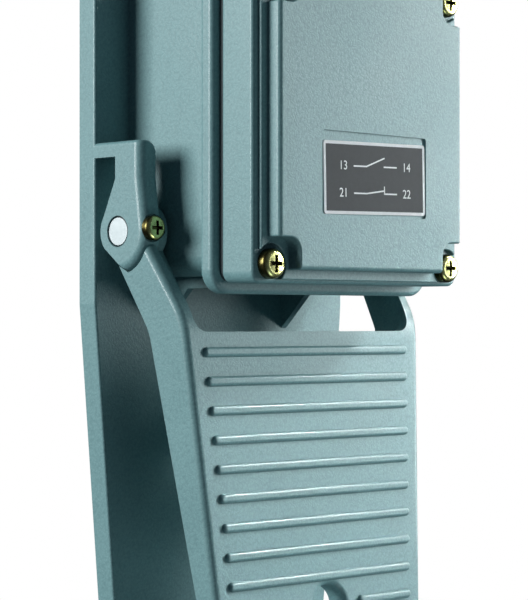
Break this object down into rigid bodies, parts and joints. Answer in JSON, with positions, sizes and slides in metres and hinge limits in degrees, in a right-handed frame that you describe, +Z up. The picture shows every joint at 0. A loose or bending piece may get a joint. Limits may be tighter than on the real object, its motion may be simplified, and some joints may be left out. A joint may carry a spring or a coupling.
{
  "type": "foot switch",
  "caption": "Cast metal foot switch with a ribbed pedal in front of a closed switch housing, painted grey-green, with a cross-recess screwed cover and a bare label plate.",
  "frame": {"origin": "middle of the four mounting holes, on the flat underside of the base", "axes": "X across the foot switch, +Y from the toe end of the pedal to the cable gland at the rear, +Z up"},
  "size_m": [0.1172, 0.2465, 0.0765],
  "materials": {
    "paint": "hammered grey-green paint",
    "zinc": "yellow zinc plate",
    "steel": "turned steel",
    "plate": "dark printed face",
    "rubber": "black",
    "brass": "plain",
    "block": "moulded black",
    "plunger": "moulded ivory"
  },
  "bodies": {
    "base": {"base_casting": "paint", "cover": "paint", "cover_gasket": "rubber", "cover_screws": "zinc", "label_plate": "plate", "shaft_retaining_screws": "zinc", "shaft_bushes": "brass", "shaft_seals": "rubber", "return_spring": "steel", "contact_block_body": "block", "contact_block_cover": "block", "block_mounting_screws": "zinc", "plunger_spring": "steel", "fixed_contacts": "brass", "terminal_clamps": "zinc", "terminal_screws": "zinc", "earth_screw": "zinc", "earth_washer": "brass", "gland_body": "brass", "gland_washer": "rubber", "gland_seal": "rubber", "gland_cap": "brass", "gland_locknut": "brass"},
    "pedal_body": {"pedal": "paint", "pedal_shaft": "steel", "arm_pins": "steel", "lever_pin": "steel", "cam_lever": "steel"},
    "plunger_body": {"plunger": "plunger", "contact_bridge": "brass"}
  },
  "joints": [
    {"name": "pedal_hinge", "type": "hinge", "parent": "base", "child": "pedal_body", "pos_m": [0, 0.0201, 0.0187], "axis": [1, 0, 0], "range_deg": [0, 10], "stiffness_Nm_per_rad": 4, "springref_deg": -8.59, "deforming": ["return_spring"]},
    {"name": "plunger_slide", "type": "slide", "parent": "base", "child": "plunger_body", "axis": [0, 0, 1], "range_m": [0, 0.004], "stiffness_N_per_m": 200, "springref_m": -0.002, "deforming": ["plunger_spring"]}
  ],
  "couplings": [
    {"joint": "plunger_slide", "follows": "pedal_hinge", "m_per_rad": 0.0228}
  ]
}
